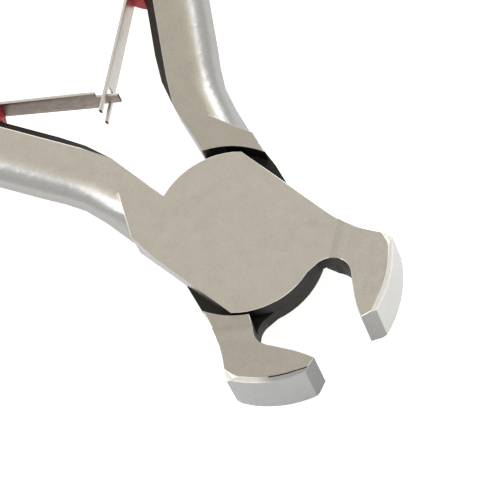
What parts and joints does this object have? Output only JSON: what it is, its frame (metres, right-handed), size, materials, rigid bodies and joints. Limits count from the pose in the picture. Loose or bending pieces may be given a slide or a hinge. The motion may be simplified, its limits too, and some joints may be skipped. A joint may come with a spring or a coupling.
{
  "type": "end cutting nippers",
  "caption": "Small end cutting nippers with a ground lap joint, flared cross-cutting jaws, interlocked leaf springs and long moulded handle grips.",
  "frame": {"origin": "where the pivot axis leaves the lower ground face of the head", "axes": "+Z along the pivot axis, up; +Y from the head along the tool's centre line towards the handles; +X to the right, on the side of the upper half's jaw"},
  "size_m": [0.0572, 0.1118, 0.009],
  "materials": {
    "ground_steel": "satin, ground and slightly stained",
    "rivet_steel": "satin, ground flush",
    "spring_steel": "dull, spring temper",
    "red_plastic": "smooth, half gloss"
  },
  "bodies": {
    "lower": {"lower_half": "ground_steel", "right_grip": "red_plastic", "fork_root": "spring_steel", "right_spring_rivet": "rivet_steel"},
    "upper": {"upper_half": "ground_steel", "joint_rivet": "rivet_steel", "left_grip": "red_plastic", "tongue_root": "spring_steel", "left_spring_rivet": "rivet_steel"},
    "tongue": {"tongue_spring": "spring_steel"},
    "fork": {"fork_spring": "spring_steel"}
  },
  "joints": [
    {"name": "main_pivot", "type": "hinge", "parent": "lower", "child": "upper", "pos_m": [0, 0, 0.0024], "axis": [0, 0, 1], "range_deg": [-21.5, 3], "stiffness_Nm_per_rad": 0.8},
    {"name": "tongue_bend", "type": "hinge", "parent": "upper", "child": "tongue", "pos_m": [-0.00875, 0.02814, 0.0024], "axis": [0, 0, 1], "range_deg": [-23.8, 3.5]},
    {"name": "fork_bend", "type": "hinge", "parent": "lower", "child": "fork", "pos_m": [0.00875, 0.02814, 0.0024], "axis": [0, 0, 1], "range_deg": [-3.5, 23.8]}
  ],
  "couplings": [
    {"joint": "tongue_bend", "follows": "main_pivot", "ratio": 1.1},
    {"joint": "fork_bend", "follows": "main_pivot", "ratio": -1.1}
  ]
}
